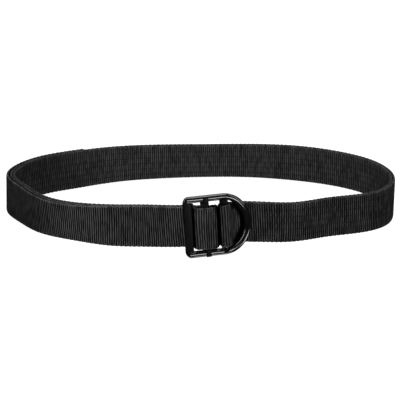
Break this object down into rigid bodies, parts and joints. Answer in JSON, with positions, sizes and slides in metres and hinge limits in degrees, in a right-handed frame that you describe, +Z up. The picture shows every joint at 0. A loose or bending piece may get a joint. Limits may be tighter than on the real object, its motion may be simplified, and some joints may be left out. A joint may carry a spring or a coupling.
{
  "type": "tactical belt",
  "caption": "Stiff black webbing belt fastened in a loop and standing on its edge, with a D-ended metal friction buckle and its tail doubled back along the outside.",
  "frame": {"origin": "middle of the belt's footprint, on the surface it stands on (bottom centre of the bounding box)", "axes": "+X along the long way of the loop, toward the buckle's D end; +Y from the buckle toward the back of the loop; +Z up"},
  "size_m": [0.3788, 0.1801, 0.0596],
  "materials": {
    "webbing_outer": "ribbed black nylon webbing",
    "webbing_inner": "ribbed black nylon webbing",
    "buckle_frame": "glossy black coat on steel",
    "slide_bar": "glossy black coat on steel"
  },
  "bodies": {
    "root": {"webbing_outer": "webbing_outer", "webbing_inner": "webbing_inner", "buckle_frame": "buckle_frame", "slide_bar": "slide_bar"}
  },
  "joints": []
}
